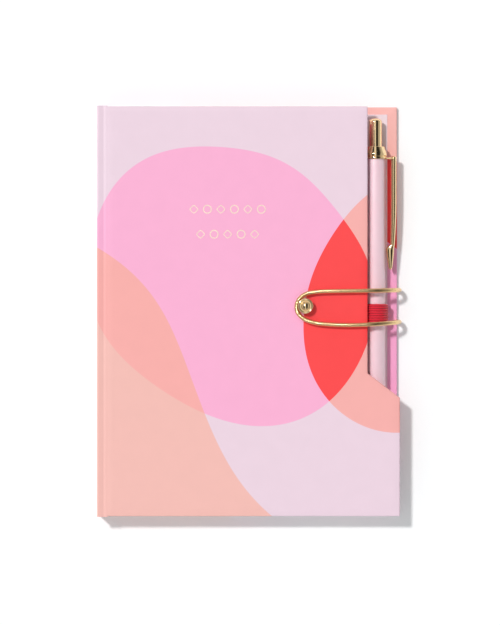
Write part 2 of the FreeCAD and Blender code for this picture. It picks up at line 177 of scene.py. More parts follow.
class PadSettings(bpy.types.PropertyGroup):
    """Sheets of the note pads."""
    layers: IntProperty(name="Layers", description="Visible steps in the edge of a pad", default=26, min=2)
    stagger: length("Stagger", "How far the sheets lie out of line", 0.07 * MM)
    curl: length("Curl", "Lift of the top sheet's free edge", 0.5 * MM)


class StageSettings(bpy.types.PropertyGroup):
    """Camera, lamp and floor."""
    camera_height: length("Camera height", "Height of the camera above the floor", 2.2)
    view_height: length("View height", "Length that the picture's long side shows at the front cover", 0.25)
    sun: FloatProperty(name="Sun", description="Strength of the key light", default=1.87)
    sky: FloatProperty(name="Sky", description="Strength of the soft light all round", default=0.515)


SETTINGS = {
    "booklet_case": CaseSettings,
    "booklet_print": PrintSettings,
    "booklet_pen": PenSettings,
    "booklet_closure": ClosureSettings,
    "booklet_pads": PadSettings,
    "booklet_stage": StageSettings,
}


# Surfaces

def unit(vectors):
    return vectors / np.linalg.norm(vectors, axis=-1, keepdims=True)


def patch(grid, wrap_rows=False, caps=True, uv_size=(1.0, 1.0)):
    """Corners, faces and face coordinates of a grid of points whose columns wrap round.

    Each quad joins a point with the next in its row and the two after them in the next row, and the last rows
    join the first where the rows wrap too. A cap is one face over the first or the last row. The coordinates
    run from nought to uv_size along the columns and the rows.
    """
    rows, columns = grid.shape[:2]
    r = np.arange(rows if wrap_rows else rows - 1)[:, None]
    r, c = np.broadcast_arrays(r, np.arange(columns)[None, :])
    corner_r = np.stack([r, r, r + 1, r + 1], -1).reshape(-1, 4)
    corner_c = np.stack([c, c + 1, c + 1, c], -1).reshape(-1, 4)
    quads = (corner_r % rows) * columns + corner_c % columns
    across = uv_size[0] * corner_c / columns
    along = uv_size[1] * corner_r / (rows if wrap_rows else rows - 1)
    faces = quads.tolist()
    coordinates = np.stack([across, along], -1).reshape(-1, 2)
    if caps and not wrap_rows:
        faces += [list(range(columns))[::-1], list(range((rows - 1) * columns, rows * columns))]
        coordinates = np.concatenate([coordinates, np.zeros((2 * columns, 2))])
    return grid.reshape(-1, 3), faces, coordinates


def build(name, patches, smooth_angle=35):
    """A mesh object of one or more closed patches, with doubles merged and faces pointing outwards."""
    corners, faces, coordinates, start = [], [], [], 0
    for points, quads, uv in patches:
        corners.append(points)
        faces += [[i + start for i in face] for face in quads]
        coordinates.append(uv)
        start += len(points)
    mesh = bpy.data.meshes.new(name)
    mesh.from_pydata(np.concatenate(corners).tolist(), [], faces)
    layer = mesh.uv_layers.new(name="UVMap")
    layer.data.foreach_set("uv", np.concatenate(coordinates).ravel())
    work = bmesh.new()
    work.from_mesh(mesh)
    bmesh.ops.remove_doubles(work, verts=work.verts, dist=1e-7)
    bmesh.ops.recalc_face_normals(work, faces=work.faces)
    work.to_mesh(mesh)
    work.free()
    mesh.shade_smooth()
    mesh.set_sharp_from_angle(angle=math.radians(smooth_angle))
    piece = bpy.data.objects.new(name, mesh)
    bpy.context.scene.collection.objects.link(piece)
    return piece


def finish(piece, material, body=None, replaced=()):
    """Gives a piece its material, the body that it rides on and the nodes that it stands for."""
    piece.data.materials.clear()
    piece.data.materials.append(material)
    if body:
        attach(piece, body)
    if replaced:
        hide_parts(*replaced)
    return piece


def dress(material, *nodes):
    """Puts a material on CAD nodes that stay as they are."""
    for name in nodes:
        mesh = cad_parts[name].data
        mesh.materials.clear()
        mesh.materials.append(material)


def rounded(points, radius, steps=6, closed=True):
    """A line with its corners rounded.

    A corner is replaced by the quadratic curve (1-t)^2 a + 2t(1-t) corner + t^2 b, where a and b lie on the
    two edges, the radius away or just under half an edge.
    """
    points = np.asarray(points, float)
    before, after = np.roll(points, 1, 0) - points, np.roll(points, -1, 0) - points
    reach = np.minimum(np.linalg.norm(before, axis=1), np.linalg.norm(after, axis=1)) * 0.49
    reach = np.minimum(reach, radius)[:, None]
    t = np.linspace(0, 1, steps)[None, :, None]
    a, b = (points + unit(before) * reach)[:, None], (points + unit(after) * reach)[:, None]
    curve = (1 - t) ** 2 * a + 2 * t * (1 - t) * points[:, None] + t ** 2 * b
    if closed:
        return curve.reshape(-1, points.shape[1])
    inner = curve[1:-1].reshape(-1, points.shape[1])
    return np.concatenate([points[:1], inner, points[-1:]])


def carried(corners, radius, insets, steps=8):
    """An anticlockwise outline set in by several amounts, one row for each, with its corners rounded.

    A corner moves in by the inset times the sum of its edges' inward normals over one plus their dot product.
    A quadratic curve takes its place, and reaches (radius - inset) tan(half the turn) along both edges at an
    outer corner and (radius + inset) tan(half the turn) at an inner one.
    """
    corners = np.asarray(corners, float)
    ahead = unit(np.roll(corners, -1, 0) - corners)
    behind = np.roll(ahead, 1, 0)
    normals = [np.stack([-e[:, 1], e[:, 0]], -1) for e in (behind, ahead)]
    dot = (normals[0] * normals[1]).sum(-1, keepdims=True)
    shift = (normals[0] + normals[1]) / (1 + dot)
    turn = behind[:, 0] * ahead[:, 1] - behind[:, 1] * ahead[:, 0]
    half = np.abs(np.arctan2(turn, dot[:, 0])) / 2
    inset = np.asarray(insets, float)[:, None]
    reach = np.maximum(radius - np.sign(turn) * inset, TINY) * np.tan(half)
    places = corners + shift * inset[..., None]
    a = (places - behind * reach[..., None])[:, :, None]
    b = (places + ahead * reach[..., None])[:, :, None]
    t = np.linspace(0, 1, steps)[None, None, :, None]
    curve = (1 - t) ** 2 * a + 2 * t * (1 - t) * places[:, :, None] + t ** 2 * b
    return curve.reshape(len(inset), -1, 2)


def lifted(rows, heights, order=(0, 1, 2)):
    """Rows of flat points with a height for each row, their axes put in order."""
    height = np.broadcast_to(np.asarray(heights)[:, None, None], rows.shape[:2] + (1,))
    flat = np.concatenate([rows, height], -1)
    return flat[..., list(order)]


def turned(profile, middle, segments, wrap_rows=False, order=(0, 1, 2)):
    """A surface turned about a line.

    A point (radius, place) of the profile goes to (middle + radius cos a, place, middle + radius sin a), with
    the axes then put in order.
    """
    a = np.linspace(0, 2 * np.pi, segments, endpoint=False)[None, :]
    radius, place = profile[:, :1], profile[:, 1:]
    grid = np.stack([middle[0] + radius * np.cos(a), place + 0 * a, middle[1] + radius * np.sin(a)], -1)
    return patch(grid[..., list(order)], wrap_rows=wrap_rows, caps=False)


def superellipse(count, power):
    """Points (x, y) round a squared circle: the cosine and sine, each to the power 2/power."""
    a = np.linspace(0, 2 * np.pi, count, endpoint=False)
    return np.stack([np.sign(f) * np.abs(f) ** (2 / power) for f in (np.cos(a), np.sin(a))], -1)


def ribbon(path, inner, outer, width, power=5, count=32):
    """A solid strip along a flat path.

    At each point of the path the section is a squared circle, from the path less inner times its normal to
    the path plus outer times its normal, and width across. The last axis of the result is across.
    """
    ahead = unit(np.gradient(path, axis=0))
    normal = np.stack([ahead[:, 1], -ahead[:, 0]], -1)
    centre = path + normal * ((outer - inner) / 2)[:, None]
    ring = superellipse(count, power)
    flat = centre[:, None] + normal[:, None] * (ring[None, :, :1] * ((outer + inner) / 2)[:, None, None])
    across = np.broadcast_to(ring[None, :, 1:] * (width / 2)[:, None, None], flat.shape[:2] + (1,))
    return np.concatenate([flat, across], -1)


def sheet_along(path, thickness, ends, rim):
    """A sheet with a flat path as its section, carried along Y, its two ends rounded.

    The section is the path and the path less its normal times the thickness. At an angle a from nought to a
    quarter turn it lies rim (1 - cos a) in from the end and has the sine of a as its share of the thickness.
    """
    ahead = unit(np.gradient(path, axis=0))
    normal = np.stack([-ahead[:, 1], ahead[:, 0]], -1)
    inside = path - normal * thickness
    loop = np.concatenate([path, inside[::-1]])
    line = np.concatenate([(path + inside) / 2, ((path + inside) / 2)[::-1]])
    angle = np.linspace(0.15, np.pi / 2, 6)
    inward = rim * (1 - np.cos(angle))
    y = np.concatenate([inward - ends, ends - inward[::-1]])
    share = np.concatenate([np.sin(angle), np.sin(angle[::-1])])
    flat = line[None] + (loop - line)[None] * share[:, None, None]
    grid = np.stack([flat[..., 0], np.broadcast_to(y[:, None], flat.shape[:2]), flat[..., 1]], -1)
    return patch(grid)


# Materials

PRINT_EDGE = 0.12 * MM


def maths_node(operation, swapped=False):
    """A method that adds a Math node for an operation on a value and another, or on the two swapped."""
    def method(self, other):
        return self.paint.maths(operation, *((other, self) if swapped else (self, other)))
    return method


class Term:
    """A value in a material. An expression on values adds its Math nodes."""

    def __init__(self, paint, socket):
        self.paint = paint
        self.socket = socket

    __add__ = __radd__ = maths_node("ADD")
    __mul__ = __rmul__ = maths_node("MULTIPLY")
    __sub__ = maths_node("SUBTRACT")
    __rsub__ = maths_node("SUBTRACT", True)
    __truediv__ = maths_node("DIVIDE")
    __pow__ = maths_node("POWER")


class Paint:
    """A material, or the world, as a graph of nodes."""

    def __init__(self, owner):
        owner.use_nodes = True
        self.tree = owner.node_tree
        self.tree.nodes.clear()

    def node(self, kind, settings=None, inputs=None):
        """Adds a node, sets its settings and then its inputs, which are numbers, colours or links."""
        made = self.tree.nodes.new(kind)
        for key, value in (settings or {}).items():
            if key == "stops":
                ramp = made.color_ramp
                while len(ramp.elements) < len(value):
                    ramp.elements.new(1)
                for element, (place, colour) in zip(ramp.elements, value):
                    element.position, element.color = place, (*colour, 1)
            else:
                setattr(made, key, value)
        for key, value in (inputs or {}).items():
            socket = made.inputs[key]
            if isinstance(value, Term):
                value = value.socket
            if isinstance(value, bpy.types.NodeSocket):
                self.tree.links.new(value, socket)
            elif isinstance(value, (tuple, list)) or hasattr(value, "r"):
                value = tuple(value)
                socket.default_value = value if len(value) == len(socket.default_value) else (*value, 1)
            else:
                socket.default_value = value
        return made

    def term(self, node, output):
        return Term(self, node.outputs[output])

    def maths(self, operation, *terms):
        made = self.node("ShaderNodeMath", {"operation": operation}, dict(enumerate(terms)))
        return self.term(made, 0)

    def clamp(self, value):
        made = self.node("ShaderNodeMath", {"operation": "ADD", "use_clamp": True}, {0: value, 1: 0.0})
        return self.term(made, 0)

    def axes(self, output="Object"):
        """The three coordinates of a place on the piece."""
        place = self.node("ShaderNodeTexCoord").outputs[output]
        parts = self.node("ShaderNodeSeparateXYZ", None, {0: place})
        return place, [self.term(parts, i) for i in range(3)]

    def edge(self, value):
        """1 where the value is over nought and 0 where it is under, with a short ramp between."""
        return self.clamp(value / PRINT_EDGE + 0.5)

    def mix(self, share, first, second):
        made = self.node("ShaderNodeMix", {"data_type": "RGBA"}, {0: share, 6: first, 7: second})
        return made.outputs[2]

    def noise(self, place, scale, detail=3.0, roughness=0.55):
        made = self.node("ShaderNodeTexNoise", None,
                         {"Vector": place, "Scale": scale, "Detail": detail, "Roughness": roughness})
        return self.term(made, 0)

    def stretched(self, place, scale):
        return self.node("ShaderNodeMapping", None, {"Vector": place, "Scale": scale}).outputs[0]

    def bump(self, height, distance, strength=1.0):
        inputs = {"Height": height, "Distance": distance, "Strength": strength}
        return self.node("ShaderNodeBump", None, inputs).outputs[0]

    def surface(self, **inputs):
        """A Principled shader with the given inputs, put on the surface."""
        names = {key.replace("_", " "): value for key, value in inputs.items()}
        shader = self.node("ShaderNodeBsdfPrincipled", None, names)
        self.node("ShaderNodeOutputMaterial", None, {"Surface": shader.outputs[0]})


def material(name):
    """A new material, and the paint that adds its nodes."""
    made = bpy.data.materials.new(name)
    return made, Paint(made)


def shade(colour, factor):
    return tuple(min(1.0, c * factor) for c in tuple(colour)[:3])


def vary(paint, colour, amount, value):
    """A colour made lighter or darker by a value from nought to one."""
    return paint.mix(value, shade(colour, 1 - amount), shade(colour, 1 + amount))


# Round fields of the print, in millimetres: the middle, the mean radius and waves of (number, height, phase)
PINK_FIELD = ((-6.5, 10.8), 56.1,
              ((2, 4.77, -1.4), (3, 0.47, -3.09), (4, 0.41, 1.86), (5, 0.59, -0.66), (6, 0.36, 0.67)))
FORE_FIELD = ((61.0, -0.7), 46.66,
              ((1, 5.79, 0.38), (2, 4.26, 2.44), (3, 1.08, -1.25), (4, 1.33, -0.61), (5, 0.48, -0.06)))
BACK_FIELD = ((34.0, -6.0), 69.0, ((2, 7.0, 1.2),))
SPINE_FIELD = ((SPINE_X / MM, -41.5), 67.0, ())

# The other edges, in millimetres: the foot's by powers of y, and the back's by its place and its lean
FOOT_SPAN = 80.0
FOOT_CURVE = (-34.0, -46.6, -63.8, -111.0, -97.1, -44.9)
BACK_CORAL_FOOT, BACK_CORAL_LEAN = 60.2, 0.25
BACK_RED_FOOT, BACK_RED_LEAN = 25.0, 0.75


def in_field(paint, x, y, field):
    """1 inside a round field, where its radius with its waves is over the distance from its middle."""
    middle, radius, waves = field
    dx, dy = x - middle[0] * MM, y - middle[1] * MM
    distance = (dx * dx + dy * dy) ** 0.5
    angle = paint.maths("ARCTAN2", dy, dx)
    edge = radius * MM
    for number, height, phase in waves:
        edge = edge + paint.maths("COSINE", angle * float(number) - phase) * (height * MM)
    return paint.edge(edge - distance)


def paper_finish(paint, place, colour, roughness=0.42):
    """Printed paper under a soft matt laminate: faint fibres, a faint mottle and a slightly uneven gloss."""
    fibres = paint.noise(place, 2600.0, 4.0)
    mottle = paint.noise(place, 160.0, 2.0)
    toned = paint.node("ShaderNodeMix", {"data_type": "RGBA", "blend_type": "MULTIPLY"},
                       {0: 1.0, 6: colour, 7: paint.mix(mottle, (0.975,) * 3, (1.015,) * 3)}).outputs[2]
    normal = paint.bump(fibres, 0.012 * MM, 0.5)
    paint.surface(Base_Color=toned, Roughness=roughness + (mottle - 0.5) * 0.1, Normal=normal,
                  Specular_IOR_Level=0.42)


def front_print(settings):
    """Pink field, coral field at the foot and coral field at the fore-edge, red where it crosses the pink.

    The foot's field ends at x = c0 + c1 t + c2 t^2 + ..., where t is y as a share of the curve's span.
    """
    made, paint = material("front print")
    place, (x, y, _) = paint.axes()
    pink = in_field(paint, x, y, PINK_FIELD)
    share = y / (FOOT_SPAN * MM)
    boundary = FOOT_CURVE[-1] * MM
    for part in reversed(FOOT_CURVE[:-1]):
        boundary = share * boundary + part * MM
    colour = paint.mix(pink, settings.ground, settings.pink)
    corals = paint.mix(pink, settings.coral, settings.coral_on_pink)
    colour = paint.mix(paint.edge(boundary - x), colour, corals)
    crossing = paint.mix(pink, settings.fore_coral, settings.red)
    colour = paint.mix(in_field(paint, x, y, FORE_FIELD), colour, crossing)
    paper_finish(paint, place, colour)
    return made


def back_print(settings):
    """Coral at the head, red below it, pink towards the foot and coral at the spine."""
    made, paint = material("back print")
    place, (x, y, _) = paint.axes()
    inwards = BACK_EDGE - x
    coral = paint.edge(y - BACK_CORAL_FOOT * MM - inwards * BACK_CORAL_LEAN)
    red = paint.edge(y - BACK_RED_FOOT * MM - inwards * BACK_RED_LEAN)
    field = in_field(paint, x, y, BACK_FIELD)
    colour = paint.mix(field, settings.ground, settings.back_pink)
    corals = paint.mix(field, settings.coral, settings.coral_on_pink)
    colour = paint.mix(in_field(paint, x, y, SPINE_FIELD), colour, corals)
    beside = paint.mix(field, settings.ground, settings.red)
    colour = paint.mix(red, colour, beside)
    colour = paint.mix(coral, colour, settings.back_coral)
    paper_finish(paint, place, colour)
    return made


def lining_paper(settings):
    """Uncoated lining paper with visible fibres."""
    made, paint = material("lining paper")
    place, _ = paint.axes()
    fibres = paint.noise(paint.stretched(place, (1.0, 0.35, 1.0)), 1800.0, 5.0)
    colour = vary(paint, settings.lining, 0.02, paint.noise(place, 240.0))
    paint.surface(Base_Color=colour, Roughness=0.62 + fibres * 0.15,
                  Normal=paint.bump(fibres, 0.02 * MM, 0.6), Specular_IOR_Level=0.3)
    return made


def grey_board():
    """Grey board with flecks of fibre."""
    made, paint = material("grey board")
    place, _ = paint.axes()
    flecks = paint.noise(paint.stretched(place, (1.0, 1.0, 4.0)), 900.0, 6.0, 0.7)
    colour = paint.mix(flecks, srgb(128, 120, 110), srgb(198, 190, 178))
    paint.surface(Base_Color=colour, Roughness=0.85, Normal=paint.bump(flecks, 0.06 * MM))
    return made


def gold_metal(name, gold, roughness=0.1):
    """Pale gold plate, polished, with a faint haze."""
    made, paint = material(name)
    place, _ = paint.axes()
    haze = paint.noise(place, 500.0, 3.0)
    fine = paint.noise(place, 4000.0, 2.0)
    colour = vary(paint, gold, 0.03, haze)
    paint.surface(Base_Color=colour, Metallic=1.0, Roughness=roughness + haze * 0.06,
                  Normal=paint.bump(fine, 0.003 * MM, 0.4))
    return made


THREAD_SLANT = 2.0
LOOP_YARNS = 110


def gold_cord(settings, length):
    """Elastic wound closely with fine metallic thread: slanting turns, each with a painted highlight along its
    middle.
    """
    made, paint = material("gold cord thread")
    _, (u, v, _) = paint.axes("UV")
    turns = length / settings.thread_pitch
    phase = (v * turns + u * THREAD_SLANT) * (2 * math.pi)
    ridge_and_highlight = paint.maths("SINE", phase) * 0.5 + 0.5
    place, _ = paint.axes()
    wear = paint.noise(place, 700.0, 4.0)
    # Painted highlight along the middle of each turn and painted shade between turns, mixed with random wear.
    colour = paint.mix(paint.clamp(ridge_and_highlight * 0.6 + wear * 0.4),
                       shade(settings.thread, 0.78), shade(settings.thread, 1.06))
    paint.surface(Base_Color=colour, Metallic=1.0, Roughness=0.2 + wear * 0.1,
                  Normal=paint.bump(ridge_and_highlight + wear, 0.03 * MM, 0.7))
    return made


def elastic_weave(settings):
    """Woven elastic: fine yarns across the ribs, with painted shade in the grooves between them."""
    made, paint = material("ribbed elastic")
    _, (u, v, _) = paint.axes("UV")
    # Painted shade: darker in the grooves between the ribs and faintly between the yarns, lighter on their
    # crowns; the fuzz is random tone.
    rib = paint.maths("COSINE", u * (2 * math.pi * settings.loop_ribs)) * -0.5 + 0.5
    yarn = paint.maths("SINE", v * (2 * math.pi * LOOP_YARNS)) * 0.5 + 0.5
    place, _ = paint.axes()
    fuzz = paint.noise(place, 1500.0, 4.0)
    painted_shade_and_fuzz = paint.clamp(rib * 0.55 + yarn * 0.2 + fuzz * 0.3)
    colour = paint.mix(painted_shade_and_fuzz, shade(settings.elastic, 0.45), shade(settings.elastic, 1.35))
    paint.surface(Base_Color=colour, Roughness=0.68, Sheen_Weight=0.25, Sheen_Roughness=0.4,
                  Normal=paint.bump(yarn * 0.6 + fuzz * 0.5, 0.05 * MM, 0.7))
    return made


def lacquer(name, colour, roughness=0.2, scatter=0.0, sheen=0.0):
    """Lacquer or moulded plastic: nearly even, with a faint ripple in the gloss.

    Scatter is the share of the light that passes some way under the surface, and sheen the velvety glow of a
    soft lacquer where it turns away.
    """
    made, paint = material(name)
    place, _ = paint.axes()
    ripple = paint.noise(place, 130.0, 2.0)
    paint.surface(Base_Color=vary(paint, colour, 0.012, ripple), Roughness=roughness + ripple * 0.08,
                  Coat_Weight=0.35, Coat_Roughness=0.12, Normal=paint.bump(ripple, 0.006 * MM, 0.5),
                  Subsurface_Weight=scatter, Subsurface_Radius=(1.0, 0.8, 0.85), Subsurface_Scale=0.9 * MM,
                  Sheen_Weight=sheen, Sheen_Roughness=0.4, Sheen_Tint=shade(colour, 1.0))
    return made


def steel(name, colour, roughness):
    """Drawn or plated metal with fine lines along it."""
    made, paint = material(name)
    place, _ = paint.axes()
    lines = paint.noise(paint.stretched(place, (1.0, 0.05, 1.0)), 3000.0, 3.0)
    paint.surface(Base_Color=vary(paint, colour, 0.06, lines), Metallic=1.0,
                  Roughness=roughness + lines * 0.1, Normal=paint.bump(lines, 0.004 * MM, 0.5))
    return made


def note_paper(name, colour):
    """A stack of sheets: fine lines along its edges and soft fibres on its face."""
    made, paint = material(name)
    place, _ = paint.axes()
    lines = paint.noise(paint.stretched(place, (0.02, 0.02, 1.0)), 9000.0, 2.0)
    fibres = paint.noise(place, 1700.0, 5.0)
    colour = vary(paint, colour, 0.06, lines * 0.7 + fibres * 0.3)
    paint.surface(Base_Color=colour, Roughness=0.72,
                  Normal=paint.bump(lines * 0.6 + fibres * 0.4, 0.03 * MM, 0.6), Specular_IOR_Level=0.3)
    return made


# Covers

def front_corners(case, left):
    """The front cover's outline, anticlockwise, with the stepped and sloping edge beside the pen."""
    step = FRONT_EDGE - case.window_width
    slope = -case.slope_top
    return [(left, -HEAD), (FRONT_EDGE, -HEAD), (FRONT_EDGE, slope - case.slope_drop), (step, slope),
            (step, HEAD), (left, HEAD)]


WRAP_CAP = 3.0 * MM
SPINE_TURN_IN = 4.0 * MM
SPINE_CORNER = 0.1 * MM
SPINE_MARGIN = 0.1 * MM


def cover_wrap(name, case, outline, corner, outside, inside, reach=1.0, order=(0, 1, 2)):
    """Covering paper of a board: over the outside, round the edge, in on the inside and back.

    Each row of the shell is the outline set in by its inset, which is reach at most, at its height.
    """
    side = math.copysign(1, inside - outside)
    a = np.linspace(0, np.pi / 2, 7)
    edge, skin = case.edge_round, PAPER * side
    insets = np.concatenate([[WRAP_CAP], edge * (1 - np.sin(a)), edge * (1 - np.cos(a)),
                             [case.turn_in, case.turn_in, PAPER, PAPER, WRAP_CAP]])
    heights = np.concatenate([[outside], outside + side * edge * (1 - np.cos(a)),
                              inside - side * edge * (1 - np.sin(a)),
                              [inside, inside - skin, inside - skin, outside + skin, outside + skin]])
    rows = carried(outline, corner, np.minimum(insets, reach))
    return build(name, [patch(lifted(rows, heights, order))])


def make_cover_wraps(case, made, back_made):
    """Covering paper of the three boards."""
    left = BOARD_START - PAPER
    wrap = cover_wrap("front_cover_wrap", case, front_corners(case, left), case.corner_round,
                      FRONT_TOP, FRONT_IN)
    finish(wrap, made, "front_cover", ["front_cover_paper"])
    outline = [(left, -HEAD), (BACK_EDGE, -HEAD), (BACK_EDGE, HEAD), (left, HEAD)]
    wrap = cover_wrap("back_cover_wrap", case, outline, case.corner_round, 0.0, BACK_IN)
    finish(wrap, back_made, "back_cover", ["back_cover_paper"])
    foot = low("spine_board")[2] - SPINE_MARGIN
    outline = [(-HEAD, foot), (HEAD, foot), (HEAD, FRONT_TOP - foot), (-HEAD, FRONT_TOP - foot)]
    wrap = cover_wrap("spine_wrap", case, outline, SPINE_CORNER, SPINE_X, high("spine_paper")[0],
                      SPINE_TURN_IN, (2, 0, 1))
    finish(wrap, made, "spine", ["spine_paper"])


FOLD_CORNER = 0.6 * MM
FOLD_OVERLAP = 0.01 * MM
FOLD_STARTS = (1.6 * MM, 1.35 * MM)
FOLD_REACH = 1.3 * MM
FOLD_OVERHANG = 0.25 * MM
FOLD_RIM = 0.35 * MM


def fold_path(case):
    """Outside of the folded strip as (x, distance below the cover's outside).

    It goes up the spine, round a quarter circle and down an even slope to the groove. From there the depth
    falls off as the exponential of minus the square of the distance over the groove's width. It stands a hair
    outside the spine's own paper, which it overlaps.
    """
    corner, outside = FOLD_CORNER, SPINE_X - FOLD_OVERLAP
    a = np.linspace(0, np.pi / 2, 9)
    turn = np.stack([outside + corner * (1 - np.cos(a)), corner * (1 - np.sin(a))], -1)
    end = BOARD_START - PAPER + case.edge_round
    x = np.linspace(outside + corner, end, 60)[1:]
    slope = np.clip((x - outside - corner) / (LINING_SPINE - outside - corner), 0, 1)
    dip = case.groove_depth * slope * np.exp(-(np.maximum(x - LINING_SPINE, 0) / case.groove_width) ** 2)
    start = np.array([(outside, depth) for depth in FOLD_STARTS])
    return np.concatenate([start, turn, np.stack([x, dip], -1)])


def make_hinge_strips(case, made, back_made):
    """Covering paper across the two folds."""
    path = fold_path(case)
    front = np.stack([path[:, 0], FRONT_TOP - path[:, 1]], -1)
    back = np.stack([path[:, 0], path[:, 1]], -1)[::-1]
    ends, reach = HEAD + FOLD_OVERHANG, FOLD_REACH
    strip = build("front_hinge_strip", [sheet_along(front, PAPER, ends, FOLD_RIM)], 50)
    finish(strip, made)
    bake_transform(strip)
    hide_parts("front_cover_paper")
    strip = build("back_hinge_strip", [sheet_along(back, PAPER, ends, FOLD_RIM)], 50)
    finish(strip, back_made)
    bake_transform(strip)
    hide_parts("back_cover_paper")


GUTTER_GAP = 0.05 * MM
GUTTER_DEPTH = 0.75 * MM
GUTTER_CORNER = 0.5 * MM
GUTTER_PAPER = 0.12 * MM
GUTTER_RIM = 0.1 * MM
GUTTER_START = 5.0 * MM
GUTTER_OVERLAP = 1.5 * MM


def make_gutters(printed):
    """Lining paper tucked into the gutter of each fold, from the spine's lining to the cover's."""
    made = lining_paper(printed)
    left, right = LINING_SPINE + GUTTER_GAP, BOARD_START - PAPER - GUTTER_GAP
    inside = FRONT_TOP - LINING_FRONT + GUTTER_GAP
    corners = [(left, GUTTER_START), (left, GUTTER_DEPTH), (right, GUTTER_DEPTH), (right, inside),
               (BOARD_START + GUTTER_OVERLAP, inside)]
    path = rounded(corners, GUTTER_CORNER, 7, closed=False)
    front = np.stack([path[:, 0], FRONT_TOP - path[:, 1]], -1)
    front = [sheet_along(front, GUTTER_PAPER, LINING_HEAD, GUTTER_RIM)]
    strip = build("front_gutter_lining", front, 50)
    finish(strip, made)
    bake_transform(strip)
    back = [sheet_along(path[::-1], GUTTER_PAPER, LINING_HEAD, GUTTER_RIM)]
    strip = build("back_gutter_lining", back, 50)
    finish(strip, made)
    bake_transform(strip)


class BOOKLET_OT_covers(bpy.types.Operator):
    """Makes the covering paper of the covers, the spine and the two folds"""
    bl_idname = "booklet.covers"
    bl_label = "Covers"

    def execute(self, context):
        case, printed = context.scene.booklet_case, context.scene.booklet_print
        made, back_made = front_print(printed), back_print(printed)
        make_cover_wraps(case, made, back_made)
        make_hinge_strips(case, made, back_made)
        make_gutters(printed)
        return {"FINISHED"}


class BOOKLET_OT_boards(bpy.types.Operator):
    """Gives the boards and the linings their materials"""
    bl_idname = "booklet.boards"
    bl_label = "Boards and linings"

    def execute(self, context):
        dress(grey_board(), "back_board", "front_board", "spine_board")
        dress(lining_paper(context.scene.booklet_print), "back_lining", "front_lining", "spine_lining")
        return {"FINISHED"}


MARK_ROWS = ((6, 40.8 * MM), (5, 30.8 * MM))
MARKS_MIDDLE = -7.9 * MM
FOIL = 0.03 * MM
DIAMOND, CIRCLE = 1.2, 2


class BOOKLET_OT_foil_marks(bpy.types.Operator):
    """Makes two rows of small foil outlines, diamonds and rings in turn, where the title would be"""
    bl_idname = "booklet.foil_marks"
    bl_label = "Foil marks"

    def execute(self, context):
        closure = context.scene.booklet_closure
        patches = []
        for count, y in MARK_ROWS:
            for i in range(count):
                outer = closure.mark_size
                sizes = np.array([outer, outer, outer - closure.mark_line, outer - closure.mark_line])
                ring = superellipse(32, CIRCLE if i % 2 else DIAMOND)
                centre = np.array([MARKS_MIDDLE + (i - (count - 1) / 2) * closure.mark_pitch, y])
                flat = ring[None] * sizes[:, None, None] + centre
                heights = FRONT_TOP + FOIL * np.array([-1, 1, 1, -1])
                patches.append(patch(lifted(flat, heights), wrap_rows=True))
        marks = build("foil_marks", patches, 60)
        finish(marks, gold_metal("gold foil", closure.foil, 0.36), "front_cover")
        return {"FINISHED"}


# Pen

PEN_AXIS = (PEN[0], PEN[2])


def piece_turned(name, profile, pen, radius=0.15 * MM, smooth=40):
    """A turned piece of the pen from the corners of its closed section, which are rounded."""
    line = rounded(profile, radius, 5)
    return build(name, [turned(line, PEN_AXIS, pen.segments, wrap_rows=True)], smooth)


BARREL_WALL = 0.8 * MM
SLIDE_GAP = 0.05 * MM
COLLAR_GROOVE = 0.26 * MM
COLLAR_BEAD = 1.0 * MM
COLLAR_NECK = 1.0 * MM
COLLAR_CONE = 2.7 * MM
NOSE_TIP = 1.45 * MM
NOSE_SEAT = 3.3 * MM
SPRING_BORE = 2.15 * MM
POINT_BORE = 1.15 * MM
NOSE_STEPS = ((0.0, 0.0), (0.0, -1.2), (-0.25, -1.5), (-0.05, -1.8), (-0.05, -4.8))
BUTTON_DOME = 1.3 * MM
FLANGE = 1.0 * MM


